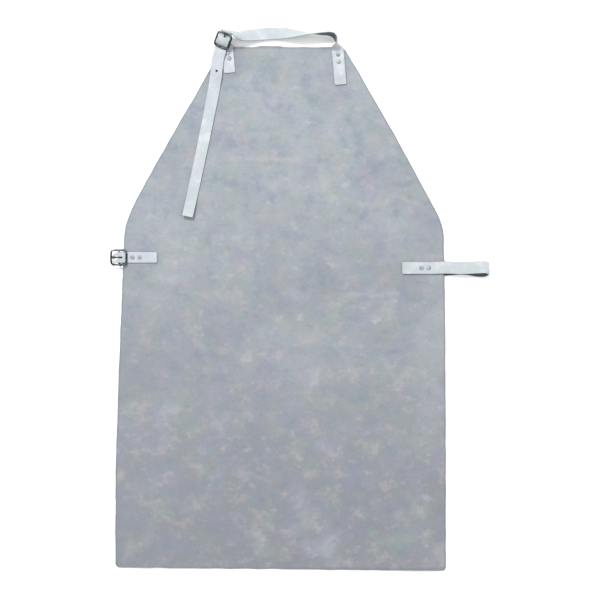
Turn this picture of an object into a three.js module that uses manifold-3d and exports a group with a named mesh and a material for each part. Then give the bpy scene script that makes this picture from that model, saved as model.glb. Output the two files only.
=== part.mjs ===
// Welding apron in leather, laid out flat with its straps, in millimetres.
// +X is to the right of the front face, +Y from the hem to the bib, +Z up from the table.
// The origin is the middle of the apron's back, which lies on the plane z = 0.
import * as THREE from 'three';
import { mergeVertices } from 'three/addons/utils/BufferGeometryUtils.js';
import Module from 'manifold-3d';

const wasm = await Module();
wasm.setup();

// ---- Apron body ----
const apronLength = 950;
const hemWidth = 600;
const armholeWidth = 576;
const bibWidth = 222;
const bibHeight = 320;
const armholeRadius = 60;
const cornerRadius = 6;
const bodyThickness = 1.6;

// ---- Straps, tabs and the gap left between pieces that touch ----
const strapWidth = 22;
const strapThickness = 2;
const tabWidth = strapWidth - 1;
const tabThickness = 1.7;
const clearance = 0.3;

// ---- Double-cap rivets ----
const capDiameter = 7.5;
const capHeight = 1.6;
const headThickness = 0.8;
const postDiameter = 3;
const rivetPitch = 13;
const neckTabRivetPitch = 10;
const neckTabRivetShift = 2.6;
const neckTabRivetEdge = 11;
const neckStrapRivetEdge = 14;
const rivetEdge = 20;

// ---- Buckles: a flat wire frame with a lower bar across its middle ----
const wireDiameter = 3.2;
const frameSlack = 1.6;
const frameLength = 31;
const frameWidth = strapWidth + 2 * wireDiameter + frameSlack;
const frameSquareness = 0.37;
const prongDiameter = 2.2;
const prongOverhang = 2;
const barReach = 4.6;

// ---- Waist side ----
const waistBuckleDrop = 63;
const waistTabLength = 69;
const waistStrapDrop = 82;
const waistStrapLap = 70;
const waistStrapOverhang = 90;
const waistStrapRise = 4.4;
const waistReturnShift = 5;
const waistReturnLength = 610;
const waistReturnSlope = 9;
const waistHoleCount = 7;
const waistHolePitch = 25;
const holeDiameter = 5;

// ---- Neck side ----
const neckTabInset = 14.5;
const neckTabLength = 47;
const neckTabLean = 0.087;
const neckTabLap = 4.5;
const neckEndInset = 7;
const neckEndLength = 68;
const neckEndLean = 0.09;
const neckHingeDrop = 5;
const neckBarOut = 11.8;
const neckBarShift = 6;
const neckBarHeight = 16.4;
const threadingSlack = 0.2;
const threadingRise = 0.7;
const buckleTurn = THREE.MathUtils.degToRad(23.5);
const bucklePitch = THREE.MathUtils.degToRad(32);
const tailLength = 257;
const tailDrift = 52;
const tailEndLift = 6;

// ---- Heights of the stacked layers ----
const bodyLift = strapThickness + headThickness + 2 * clearance;
const rampLength = 26;
const bibTop = apronLength / 2;
const armholeY = bibTop - bibHeight;
const waistBuckleY = armholeY - waistBuckleDrop;
const waistStrapY = armholeY - waistStrapDrop;
const waistBand = [waistStrapY - 36, waistBuckleY + tabWidth / 2 + 4];
const bibBand = bibTop - neckTabLength - 4;
const liftSteps = [
  [-apronLength / 2, 0],
  [waistBand[0] - rampLength, 0],
  [waistBand[0], bodyLift],
  [waistBand[1], bodyLift],
  [waistBand[1] + rampLength, 0],
  [bibBand - rampLength, 0],
  [bibBand, bodyLift],
  [bibTop, bodyLift],
];
const layerTop = bodyLift + bodyThickness;
const strapRest = clearance + strapThickness / 2;
const tabRest = clearance + tabThickness / 2;
const barRadius = wireDiameter / 2;
const foldRadius = barRadius + clearance + tabThickness / 2;
const layerSpread = bodyThickness / 2 + tabRest;
const frameRise = layerSpread + tabThickness / 2 + clearance + barRadius;
const railReach = (frameLength - wireDiameter) / 2;

// ---- Colours ----
const suede = { color: 0xacafb4, roughness: 0.95, metalness: 0 };
const strapLeather = { color: 0xd2dade, roughness: 0.8, metalness: 0 };
const nickel = { color: 0x777b80, roughness: 0.3, metalness: 1 };

const apron = new THREE.Group();

function addMesh(name, geometry, finish) {
  const mesh = new THREE.Mesh(geometry, new THREE.MeshStandardMaterial(finish));
  mesh.name = name;
  apron.add(mesh);
  return mesh;
}

function vec(x, y, z) {
  return new THREE.Vector3(x, y, z);
}

// ---- Closed meshes for cutting and joining ----
function signedVolume(geometry) {
  const index = geometry.index.array;
  const corner = new THREE.BufferAttribute(geometry.attributes.position.array, 3);
  const [a, b, c] = [vec(0, 0, 0), vec(0, 0, 0), vec(0, 0, 0)];
  let volume = 0;
  for (let i = 0; i < index.length; i += 3) {
    a.fromBufferAttribute(corner, index[i]);
    b.fromBufferAttribute(corner, index[i + 1]);
    c.fromBufferAttribute(corner, index[i + 2]);
    volume += a.dot(b.cross(c)) / 6;
  }
  return volume;
}

function toSolid(geometry) {
  const bare = geometry.clone();
  bare.deleteAttribute('normal');
  bare.deleteAttribute('uv');
  const merged = mergeVertices(bare, 1e-4);
  const triVerts = new Uint32Array(merged.index.array);
  if (signedVolume(merged) < 0) triVerts.reverse();
  const vertProperties = new Float32Array(merged.attributes.position.array);
  return new wasm.Manifold(new wasm.Mesh({ numProp: 3, vertProperties, triVerts }));
}

function toGeometry(solid) {
  const { vertProperties, triVerts } = solid.getMesh();
  const geometry = new THREE.BufferGeometry();
  geometry.setAttribute('position', new THREE.BufferAttribute(vertProperties, 3));
  geometry.setIndex(new THREE.BufferAttribute(triVerts, 1));
  geometry.computeVertexNormals();
  return geometry;
}

function closed(geometry) {
  return toGeometry(toSolid(geometry));
}

function cutHoles(solid, cutters) {
  return cutters.reduce((rest, cutter) => rest.subtract(toSolid(cutter)), solid);
}

function drill(at, direction, diameter, depth) {
  const drillBit = new THREE.CylinderGeometry(diameter / 2, diameter / 2, depth, 16);
  const turn = new THREE.Quaternion().setFromUnitVectors(vec(0, 1, 0), direction);
  return drillBit.applyQuaternion(turn).translate(at.x, at.y, at.z);
}

// ---- Leather strips: a route of points, each with the direction across the strip ----
function stop(at, across) {
  return { at, across: across.clone().normalize() };
}

function curveOf(stops) {
  return new THREE.CatmullRomCurve3(stops.map((each) => each.at), false, 'centripetal');
}

function stationAt(stops, curve, place) {
  const span = Math.min(Math.floor(place), stops.length - 2);
  const share = place / (stops.length - 1);
  const at = curve.getPoint(share);
  const along = curve.getTangent(share);
  const across = stops[span].across.clone().lerp(stops[span + 1].across, place - span);
  across.normalize();
  const face = across.clone().cross(along).normalize();
  return { at, across, face };
}

function strip(stops, width, thickness, stepsPerSpan) {
  const curve = curveOf(stops);
  const last = (stops.length - 1) * stepsPerSpan;
  const points = [];
  const faces = [];
  for (let i = 0; i <= last; i += 1) {
    const { at, across, face } = stationAt(stops, curve, i / stepsPerSpan);
    for (const [side, level] of [[-1, -1], [1, -1], [1, 1], [-1, 1]]) {
      const corner = at.clone().addScaledVector(across, side * width / 2);
      corner.addScaledVector(face, level * thickness / 2);
      points.push(corner.x, corner.y, corner.z);
    }
    for (let k = 0; k < 4 && i < last; k += 1) {
      const here = 4 * i;
      const next = (k + 1) % 4;
      faces.push(here + k, here + next, here + 4 + next);
      faces.push(here + k, here + 4 + next, here + 4 + k);
    }
  }
  faces.push(0, 2, 1, 0, 3, 2);
  faces.push(4 * last, 4 * last + 1, 4 * last + 2, 4 * last, 4 * last + 2, 4 * last + 3);
  const geometry = new THREE.BufferGeometry();
  geometry.setAttribute('position', new THREE.Float32BufferAttribute(points, 3));
  geometry.setIndex(faces);
  return geometry;
}

// ---- Apron body ----
function roundedShape(corners) {
  const shape = new THREE.Shape();
  corners.forEach(([x, y, radius], i) => {
    const here = new THREE.Vector2(x, y);
    const before = new THREE.Vector2(...corners.at(i - 1));
    const after = new THREE.Vector2(...corners[(i + 1) % corners.length]);
    const back = before.sub(here).normalize();
    const ahead = after.sub(here).normalize();
    const halfAngle = Math.acos(back.dot(ahead)) / 2;
    const reach = radius / Math.tan(halfAngle);
    const enter = here.clone().addScaledVector(back, reach);
    const leave = here.clone().addScaledVector(ahead, reach);
    if (i === 0) shape.moveTo(enter.x, enter.y);
    else shape.lineTo(enter.x, enter.y);
    shape.quadraticCurveTo(here.x, here.y, leave.x, leave.y);
  });
  shape.closePath();
  return shape;
}

function liftAt(y) {
  const after = Math.max(1, liftSteps.findIndex((step) => step[0] >= y));
  const [y0, z0] = liftSteps[after - 1];
  const [y1, z1] = liftSteps[after];
  return z0 + (z1 - z0) * (y - y0) / (y1 - y0);
}

function edgeX(y) {
  const share = (y + apronLength / 2) / (apronLength - bibHeight);
  return THREE.MathUtils.lerp(hemWidth, armholeWidth, share) / 2;
}

function bodyOutline() {
  const bottom = -apronLength / 2;
  return roundedShape([
    [-hemWidth / 2, bottom, cornerRadius],
    [hemWidth / 2, bottom, cornerRadius],
    [armholeWidth / 2, armholeY, armholeRadius],
    [bibWidth / 2, bibTop, cornerRadius],
    [-bibWidth / 2, bibTop, cornerRadius],
    [-armholeWidth / 2, armholeY, armholeRadius],
  ]);
}

function buildBody(rivetSeats) {
  const deep = 4 * layerTop;
  const plan = new THREE.ExtrudeGeometry(bodyOutline(), { depth: deep, bevelEnabled: false });
  plan.translate(0, 0, -deep / 2);
  const section = new THREE.Shape();
  liftSteps.forEach(([y, z], i) => (i === 0 ? section.moveTo(y, z) : section.lineTo(y, z)));
  [...liftSteps].reverse().forEach(([y, z]) => section.lineTo(y, z + bodyThickness));
  const wide = 2 * hemWidth;
  const sheet = new THREE.ExtrudeGeometry(section, { depth: wide, bevelEnabled: false });
  sheet.translate(0, 0, -wide / 2);
  sheet.applyMatrix4(new THREE.Matrix4().makeBasis(vec(0, 1, 0), vec(0, 0, 1), vec(1, 0, 0)));
  const body = toSolid(plan).intersect(toSolid(sheet));
  addMesh('apron_body', toGeometry(cutHoles(body, rivetSeats.map(rivetDrill))), suede);
}

// ---- Rivets ----
function rivetDrill(at) {
  return drill(vec(at.x, at.y, 0), vec(0, 0, 1), postDiameter + 2 * clearance, 8 * layerTop);
}

function capProfile(socketDepth) {
  const radius = capDiameter / 2;
  const socket = postDiameter / 2 + clearance;
  const rim = capHeight * 0.3;
  const points = [[0, socketDepth], [socket, socketDepth], [socket, 0], [radius, 0], [radius, rim]];
  const steps = 4;
  for (let i = 1; i <= steps; i += 1) {
    const turn = (Math.PI / 2) * (i / steps);
    points.push([radius * Math.cos(turn), rim + (capHeight - rim) * Math.sin(turn)]);
  }
  points[points.length - 1][0] = 0;
  return points.map(([r, z]) => new THREE.Vector2(r, z));
}

function studProfile(postLength) {
  const head = capDiameter / 2;
  const post = postDiameter / 2;
  const points = [[0, 0], [head - 0.3, 0], [head, 0.3], [head, headThickness]];
  points.push([post, headThickness], [post, headThickness + postLength]);
  points.push([0, headThickness + postLength]);
  return points.map(([r, z]) => new THREE.Vector2(r, z));
}

function addRivet(name, number, seat) {
  const socketDepth = 0.7;
  const bottom = seat.bottom - clearance - headThickness;
  const top = seat.top + clearance;
  const postLength = top + socketDepth - clearance - bottom - headThickness;
  const stud = new THREE.LatheGeometry(studProfile(postLength), 20).rotateX(Math.PI / 2);
  const cap = new THREE.LatheGeometry(capProfile(socketDepth), 20).rotateX(Math.PI / 2);
  addMesh(`${name}_rivet_stud_${number}`, closed(stud), nickel).position.set(seat.x, seat.y, bottom);
  addMesh(`${name}_rivet_cap_${number}`, closed(cap), nickel).position.set(seat.x, seat.y, top);
}

// ---- Buckles ----
function framePath() {
  const halfWidth = (frameWidth - wireDiameter) / 2;
  const count = 40;
  const points = [];
  for (let i = 0; i < count; i += 1) {
    const turn = (2 * Math.PI * i) / count;
    const bend = (value) => Math.sign(value) * Math.abs(value) ** frameSquareness;
    const u = railReach * bend(Math.sin(turn));
    const v = halfWidth * bend(Math.cos(turn));
    points.push(vec(v, u, frameRise));
  }
  return new THREE.CatmullRomCurve3(points, true, 'centripetal');
}

// The middle bar drops from both rails, so that the tab and the strap pass under the frame's ends.
function barPath() {
  const half = (frameWidth - wireDiameter) / 2;
  const side = [[half, frameRise], [half - 0.3, barRadius], [half - 2.2, 0], [half / 3, 0]];
  const left = side.map(([v, out]) => vec(-v, 0, out));
  const right = side.map(([v, out]) => vec(v, 0, out)).reverse();
  return new THREE.CatmullRomCurve3([...left, ...right], false, 'centripetal');
}

function frameGeometry() {
  const ring = toSolid(new THREE.TubeGeometry(framePath(), 56, barRadius, 10, true));
  const bar = tube(barPath(), barRadius - 0.2, 24, 10);
  return toGeometry(ring.add(toSolid(bar)));
}

function prongPath(tipOut) {
  const eye = barRadius + clearance + prongDiameter / 2;
  const tipHeight = frameRise + barRadius + clearance + prongDiameter / 2;
  return new THREE.CatmullRomCurve3([
    vec(0, eye * 0.5, eye * 0.85),
    vec(0, eye + 2, eye * 0.9),
    vec(0, railReach * 0.62, tipHeight * 0.72),
    vec(0, railReach, tipHeight),
    vec(0, railReach + tipOut, tipHeight + 0.1),
  ]);
}

function tube(path, radius, steps, sides) {
  const section = new THREE.Shape();
  for (let i = 0; i < sides; i += 1) {
    const turn = (2 * Math.PI * i) / sides;
    const point = [radius * Math.cos(turn), radius * Math.sin(turn)];
    if (i === 0) section.moveTo(...point);
    else section.lineTo(...point);
  }
  return new THREE.ExtrudeGeometry(section, { steps, bevelEnabled: false, extrudePath: path });
}

function prongGeometry() {
  const eye = barRadius + clearance + prongDiameter / 2;
  const ring = new THREE.TorusGeometry(eye, prongDiameter / 2, 8, 20).rotateY(Math.PI / 2);
  const shaft = tube(prongPath(prongOverhang), prongDiameter / 2, 12, 8);
  return toGeometry(toSolid(ring).add(toSolid(shaft)));
}

// A buckle's own axes: X along its bar, Y towards the bar its prong rests on, Z out of its face.
function buckleAxes(turn, pitch) {
  const along = vec(0, 1, 0).applyAxisAngle(vec(1, 0, 0), pitch).applyAxisAngle(vec(0, 0, 1), turn);
  const bar = vec(1, 0, 0).applyAxisAngle(vec(0, 0, 1), turn);
  return { bar, along, out: bar.clone().cross(along) };
}

function buckleMatrix(axes, at) {
  return new THREE.Matrix4().makeBasis(axes.bar, axes.along, axes.out).setPosition(at);
}

function addBuckle(name, matrix) {
  addMesh(`${name}_buckle_frame`, frameGeometry(), nickel).applyMatrix4(matrix);
  addMesh(`${name}_buckle_prong`, prongGeometry(), nickel).applyMatrix4(matrix);
}

// The turn of a tab's leather round the bar, as points in the buckle's own Y and Z.
function foldStops(matrix) {
  const stops = [];
  for (let degrees = -135; degrees <= 135; degrees += 45) {
    const angle = THREE.MathUtils.degToRad(degrees);
    const at = vec(0, foldRadius * Math.cos(angle), foldRadius * Math.sin(angle));
    const across = vec(1, 0, 0).transformDirection(matrix);
    stops.push(stop(at.applyMatrix4(matrix), across));
  }
  return stops;
}

function prongSlot(matrix) {
  const back = 2 * foldRadius + 1;
  const ahead = foldRadius + tabThickness;
  const width = prongDiameter + 2 * clearance + 0.4;
  const slot = new THREE.BoxGeometry(width, back + ahead, 4 * foldRadius);
  return slot.translate(0, (ahead - back) / 2, 0).applyMatrix4(matrix);
}

function addTab(name, stops, matrix, rivetSeats) {
  const leather = toSolid(strip(stops, tabWidth, tabThickness, 3));
  const cutters = [prongSlot(matrix), ...rivetSeats.map(rivetDrill)];
  addMesh(name, toGeometry(cutHoles(leather, cutters)), strapLeather);
}

// ---- Waist tab and buckle ----
const tabTop = layerTop + clearance + tabThickness;
const tabBottom = bodyLift - clearance - tabThickness;
const waistBarX = -edgeX(waistBuckleY) - barReach;
const layerMiddle = bodyLift + bodyThickness / 2;

function waistTabSeats() {
  const first = -edgeX(waistBuckleY) + rivetEdge;
  return [0, rivetPitch].map((step) => ({
    x: first + step, y: waistBuckleY, bottom: tabBottom, top: tabTop,
  }));
}

function buildWaistTab() {
  const axes = buckleAxes(Math.PI / 2, 0);
  const matrix = buckleMatrix(axes, vec(waistBarX, waistBuckleY, layerMiddle));
  const far = waistBarX + waistTabLength;
  const near = waistBarX + 2 * foldRadius;
  const flat = (x, side) => stop(
    vec(x, waistBuckleY, layerMiddle + side * layerSpread), axes.bar,
  );
  const stops = [flat(far, -1), flat(near, -1), ...foldStops(matrix), flat(near, 1), flat(far, 1)];
  addTab('waist_tab', stops, matrix, waistTabSeats());
  addBuckle('waist', matrix);
}

// ---- Waist strap: lapped on the front, folded past the edge and laid back behind ----
const waistFoldX = edgeX(waistStrapY) + waistStrapOverhang;
const returnY = waistStrapY - waistReturnShift;
const returnZ = strapThickness / 2;

function waistStrapSeats() {
  const first = edgeX(waistStrapY) - rivetEdge;
  return [0, rivetPitch].map((step) => ({
    x: first - step, y: waistStrapY, bottom: bodyLift, top: layerTop + clearance + strapThickness,
  }));
}

function waistStrapStops() {
  const across = vec(0, 1, 0);
  const flatZ = layerTop + strapRest;
  const highZ = flatZ + waistStrapRise;
  const radius = (highZ - returnZ) / 2;
  const foldX = waistFoldX - radius - strapThickness / 2;
  const edge = edgeX(waistStrapY);
  const stops = [
    stop(vec(edge - waistStrapLap, waistStrapY, flatZ), across),
    stop(vec(edge, waistStrapY, flatZ), across),
    stop(vec((edge + foldX) / 2, waistStrapY + 1, (flatZ + highZ) / 2), across),
  ];
  for (let degrees = 90; degrees >= -90; degrees -= 30) {
    const angle = THREE.MathUtils.degToRad(degrees);
    const drop = (90 - degrees) / 180;
    const y = waistStrapY + 1 - (waistReturnShift + 1) * drop;
    const x = foldX + radius * Math.cos(angle);
    stops.push(stop(vec(x, y, returnZ + radius + radius * Math.sin(angle)), across));
  }
  return { stops, foldX };
}

function waistReturnStops(foldX) {
  const across = vec(0, 1, 0);
  const start = foldX - 2 * clearance;
  return [
    stop(vec(start, returnY, returnZ), across),
    stop(vec(start - waistReturnLength, returnY - waistReturnSlope, returnZ), across),
  ];
}

function waistHoles(stops) {
  const [start, end] = stops.map((each) => each.at);
  const back = start.clone().sub(end).normalize();
  const holes = [];
  for (let i = 0; i < waistHoleCount; i += 1) {
    const at = end.clone().addScaledVector(back, 2 * waistHolePitch + i * waistHolePitch);
    holes.push(drill(at, vec(0, 0, 1), holeDiameter, 4 * strapThickness));
  }
  return holes;
}

function buildWaistStrap() {
  const { stops, foldX } = waistStrapStops();
  const fixed = toSolid(strip(stops, strapWidth, strapThickness, 3));
  addMesh('waist_strap', toGeometry(cutHoles(fixed, waistStrapSeats().map(rivetDrill))), strapLeather);
  const returnStops = waistReturnStops(foldX);
  const loose = toSolid(strip(returnStops, strapWidth, strapThickness, 1));
  addMesh('waist_strap_end', toGeometry(cutHoles(loose, waistHoles(returnStops))), strapLeather);
}

// ---- Neck tab and buckle ----
const neckTabX = -bibWidth / 2 + neckTabInset;
const neckBar = vec(neckTabX - neckBarShift, bibTop + neckBarOut, neckBarHeight);
const neckAxes = buckleAxes(-buckleTurn, bucklePitch);
const neckMatrix = buckleMatrix(neckAxes, neckBar);

function neckTabSeats() {
  return [0, 1].map((step) => ({
    x: neckTabX + neckTabLean * neckTabRivetEdge + step * neckTabRivetShift,
    y: bibTop - neckTabRivetEdge - step * neckTabRivetPitch,
    bottom: tabBottom,
    top: tabTop,
  }));
}

function buildNeckTab() {
  const across = vec(1, neckTabLean, 0);
  const flat = (out, side, drop) => stop(
    vec(neckTabX - neckTabLean * out, bibTop + out, layerMiddle + side * layerSpread - drop), across,
  );
  const turning = neckAxes.bar.clone().add(across);
  const between = (out, height, shift) => stop(vec(neckTabX - shift, bibTop + out, height), turning);
  const stops = [
    flat(-neckTabLength, -1, 0),
    flat(-10, -1, 0),
    flat(1.2, -1, 0.1),
    between(5.6, 4.9, 2.4),
    ...foldStops(neckMatrix),
    between(4.6, 10.6, 2.2),
    flat(-0.6, 1, -0.7),
    flat(-8, 1, 0),
    flat(-neckTabLength, 1, 0),
  ];
  addTab('neck_tab', stops, neckMatrix, neckTabSeats());
  addBuckle('neck', neckMatrix);
}

// ---- Neck strap ----
const neckEndX = bibWidth / 2 - neckEndInset;
const loopStart = vec(neckEndX, bibTop - neckHingeDrop, layerTop + strapRest);
const loopSpan = neckEndX - neckBar.x;

// A strip's direction across it, for a heading in plan, tipped by a roll towards standing on edge.
function acrossFor(heading, roll) {
  const flat = vec(-Math.sin(heading), Math.cos(heading), 0);
  return flat.applyAxisAngle(vec(Math.cos(heading), Math.sin(heading), 0), roll);
}

function rolledStop(at, headingDegrees, rollDegrees) {
  const radians = THREE.MathUtils.degToRad;
  return stop(at, acrossFor(radians(headingDegrees), radians(rollDegrees)));
}

function neckEndStops() {
  const restOn = (drop, side) => vec(
    neckEndX + neckEndLean * (drop - neckHingeDrop),
    bibTop - drop,
    liftAt(bibTop - drop) + bodyThickness + side,
  );
  const heading = vec(-1, -neckEndLean, 0);
  const kink = bibTop - bibBand;
  return [
    stop(restOn(neckEndLength, strapRest), heading),
    stop(restOn((kink + neckEndLength) / 2, strapRest + 0.1), heading),
    stop(restOn(kink, strapRest + 0.1), heading),
    stop(restOn(kink / 2, strapRest), heading),
    stop(restOn(neckHingeDrop + 2 * clearance, strapRest), vec(-1, 0, 0)),
  ];
}

function neckStrapSeats() {
  return [0, 1].map((step) => ({
    x: neckEndX + neckEndLean * (neckStrapRivetEdge + step * rivetPitch - neckHingeDrop),
    y: bibTop - neckStrapRivetEdge - step * rivetPitch,
    bottom: bodyLift,
    top: layerTop + clearance + strapThickness,
  }));
}

// Points of the loop: share of the way to the left, distance past the bib, height, heading, roll.
const loopRoute = [
  [0.001, -1, 8.5, 91, 8],
  [0.004, 3.2, 11.2, 92, 35],
  [0.007, 8.5, 13.6, 100, 66],
  [0.016, 15, 13.2, 122, 86],
  [0.036, 20, 12.6, 146, 90],
  [0.07, 23, 12.4, 172, 90],
  [0.148, 23.2, 12.3, 181, 88],
  [0.246, 23, 12.2, 180, 80],
  [0.344, 23.6, 10.6, 178, 55],
  [0.478, 25, 5.2, 180, 14],
  [0.62, 24.2, 3.4, 184, 4],
  [0.76, 21.2, 6.6, 187, 12],
];

function loopStops() {
  const stops = [stop(loopStart.clone(), vec(-1, 0, 0))];
  for (const [share, out, height, heading, roll] of loopRoute) {
    stops.push(rolledStop(vec(neckEndX - share * loopSpan, bibTop + out, height), heading, roll));
  }
  stops.push(loopEnd());
  return stops;
}

function loopEnd() {
  return rolledStop(vec(neckBar.x + 34, bibTop + 19.4, 12.4), 176, 26);
}

// The tail runs down beside the tab and laps over its edge by a little.
const besideTab = neckTabX - (tabWidth + strapWidth) / 2 + neckTabLap;

function onBuckle(along, out) {
  return vec(0, along, out).applyMatrix4(neckMatrix);
}

const underBar = frameRise - barRadius - 2 * clearance - strapThickness / 2 - threadingSlack;
const overFold = barRadius + prongDiameter + 2 * clearance + strapThickness / 2 + threadingSlack;
const midway = (underBar + overFold) / 2 + threadingRise;

function buckledStops() {
  const start = loopEnd();
  start.at.x -= 4 * clearance;
  const inFrame = (along, out) => stop(onBuckle(along, out), neckAxes.bar);
  const overTab = tabTop + strapRest;
  const down = vec(1, -0.04, 0);
  return [
    start,
    rolledStop(vec(neckBar.x + 25, bibTop + 20.4, 18.2), 174, 50),
    rolledStop(vec(neckBar.x + 16, bibTop + 23, 23.6), 194, 60),
    inFrame(railReach + 3, underBar - 0.5),
    inFrame(railReach, underBar),
    inFrame(railReach / 2, midway),
    inFrame(0, overFold),
    inFrame(-railReach / 2, midway),
    inFrame(-railReach, underBar),
    stop(vec(besideTab + 4.3, bibTop - 8, overTab + 2.6), down),
    stop(vec(besideTab + 0.8, bibTop - 20, overTab + 0.9), down),
    stop(vec(besideTab - 1.4, bibTop - 33, overTab), down),
    stop(tailStart().add(vec(0, 3 * clearance, 0)), vec(1, -0.1, 0)),
  ];
}

function tailStart() {
  const y = bibTop - neckTabLength - 5;
  return vec(besideTab - 3.5, y, liftAt(y) + bodyThickness + strapRest + 0.4);
}

function tailStops() {
  const start = tailStart();
  const stops = [stop(start, vec(1, -0.1, 0))];
  const steps = [0.08, 0.14, 0.3, 0.5, 0.7, 0.9, 1];
  for (const share of steps) {
    const x = start.x - tailDrift * share ** 1.08;
    const y = start.y - tailLength * share;
    const lift = share > 0.85 ? tailEndLift * (share - 0.85) / 0.15 : 0;
    stops.push(stop(vec(x, y, liftAt(y) + bodyThickness + strapRest + 0.1 + lift), vec(1, -0.19, 0)));
  }
  return stops;
}

function buildNeckStrap() {
  const seats = neckStrapSeats();
  const end = toSolid(strip(neckEndStops(), strapWidth, strapThickness, 2));
  addMesh('neck_strap_end', toGeometry(cutHoles(end, seats.map(rivetDrill))), strapLeather);
  const loop = strip(loopStops(), strapWidth, strapThickness, 4);
  addMesh('neck_strap_loop', closed(loop), strapLeather);
  const buckled = toSolid(strip(buckledStops(), strapWidth, strapThickness, 4));
  const spare = vec(besideTab - 2.4, bibTop - neckTabLength + 3, layerTop);
  const prongHole = tube(prongPath(6), prongDiameter / 2 + clearance, 12, 8).applyMatrix4(neckMatrix);
  const cutters = [prongHole, drill(spare, vec(0, 0, 1), holeDiameter, 8 * layerTop)];
  addMesh('neck_strap_buckled', toGeometry(cutHoles(buckled, cutters)), strapLeather);
  addMesh('neck_strap_tail', closed(strip(tailStops(), strapWidth, strapThickness, 2)), strapLeather);
}

// ---- Assembly ----
const rivetRows = {
  waist_tab: waistTabSeats(),
  waist_strap: waistStrapSeats(),
  neck_tab: neckTabSeats(),
  neck_strap: neckStrapSeats(),
};

buildBody(Object.values(rivetRows).flat());
buildWaistTab();
buildWaistStrap();
buildNeckTab();
buildNeckStrap();
for (const [name, seats] of Object.entries(rivetRows)) {
  seats.forEach((seat, i) => addRivet(name, i + 1, seat));
}

export default apron;
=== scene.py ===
# %% [markdown]
# # A leather welding apron, laid out flat
# The apron is one sheet of split suede with straps of pale leather riveted to it. The packed
# model gives every piece its place, so this script starts by loading it, and then makes the
# fine surface of each piece around it: the sheet, the straps, the buckles and the rivets.

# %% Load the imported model
import math
import bmesh
import bpy
from mathutils import Matrix, Vector, noise


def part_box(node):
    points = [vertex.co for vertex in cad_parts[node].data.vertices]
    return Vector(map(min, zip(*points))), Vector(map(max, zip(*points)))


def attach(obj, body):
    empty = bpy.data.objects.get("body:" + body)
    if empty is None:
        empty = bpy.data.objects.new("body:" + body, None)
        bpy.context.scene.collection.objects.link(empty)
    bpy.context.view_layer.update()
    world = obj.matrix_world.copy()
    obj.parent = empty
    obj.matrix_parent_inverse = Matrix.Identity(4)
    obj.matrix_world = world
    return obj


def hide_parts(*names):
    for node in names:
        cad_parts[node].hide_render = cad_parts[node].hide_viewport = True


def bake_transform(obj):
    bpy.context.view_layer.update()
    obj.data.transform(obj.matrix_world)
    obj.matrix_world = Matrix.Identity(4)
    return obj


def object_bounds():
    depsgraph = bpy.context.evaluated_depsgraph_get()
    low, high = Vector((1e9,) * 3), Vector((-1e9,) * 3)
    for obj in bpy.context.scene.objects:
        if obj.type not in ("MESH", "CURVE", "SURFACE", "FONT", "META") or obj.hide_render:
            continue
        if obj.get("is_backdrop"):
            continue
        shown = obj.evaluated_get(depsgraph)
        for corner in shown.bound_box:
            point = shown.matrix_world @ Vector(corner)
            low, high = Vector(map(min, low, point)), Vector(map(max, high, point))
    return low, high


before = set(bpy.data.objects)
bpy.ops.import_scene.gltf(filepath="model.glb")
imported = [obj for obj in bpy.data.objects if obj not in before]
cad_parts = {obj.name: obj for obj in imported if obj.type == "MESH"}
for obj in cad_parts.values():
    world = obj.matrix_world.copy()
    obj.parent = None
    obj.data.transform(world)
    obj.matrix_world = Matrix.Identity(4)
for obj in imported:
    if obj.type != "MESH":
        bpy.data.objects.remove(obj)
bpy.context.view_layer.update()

MM = 0.001

# %% [markdown]
# ## Camera
# The apron is looked at from straight above, as on a cutting table. A long lens high over it
# keeps the two sides parallel, as a flat pattern should look; a wide lens close by would pull
# the raised buckles outwards.

# %% Camera straight above the apron
VIEW_WIDTH = 1.094
LENS_MM = 85
SENSOR_MM = 36
VIEW_MIDDLE = (0.0356, 0.0146)
camera_data = bpy.data.cameras.new("overhead_camera")
camera_data.lens = LENS_MM
camera_data.sensor_width = SENSOR_MM
camera = bpy.data.objects.new("overhead_camera", camera_data)
bpy.context.scene.collection.objects.link(camera)
camera.location = (*VIEW_MIDDLE, VIEW_WIDTH * LENS_MM / SENSOR_MM)
bpy.context.scene.camera = camera
print("camera height", round(camera.location.z, 3), "m")

# %% [markdown]
# ## Floor and light
# A plain pale floor, pale light from all round, and one large soft lamp. The lamp stands beyond
# the bib and a little to the left, so that every raised edge throws its shadow towards the hem.
# Right of the apron the floor has a wide, shallow hollow. That leaves room for the waist strap,
# which swings down and outwards from behind the apron when it is drawn out.

# %% Floor, lamp and pale surroundings
def plain_material(name, colour, roughness):
    material = bpy.data.materials.new(name)
    material.use_nodes = True
    shader = material.node_tree.nodes["Principled BSDF"]
    shader.inputs["Base Color"].default_value = (*colour, 1)
    shader.inputs["Roughness"].default_value = roughness
    return material


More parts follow.
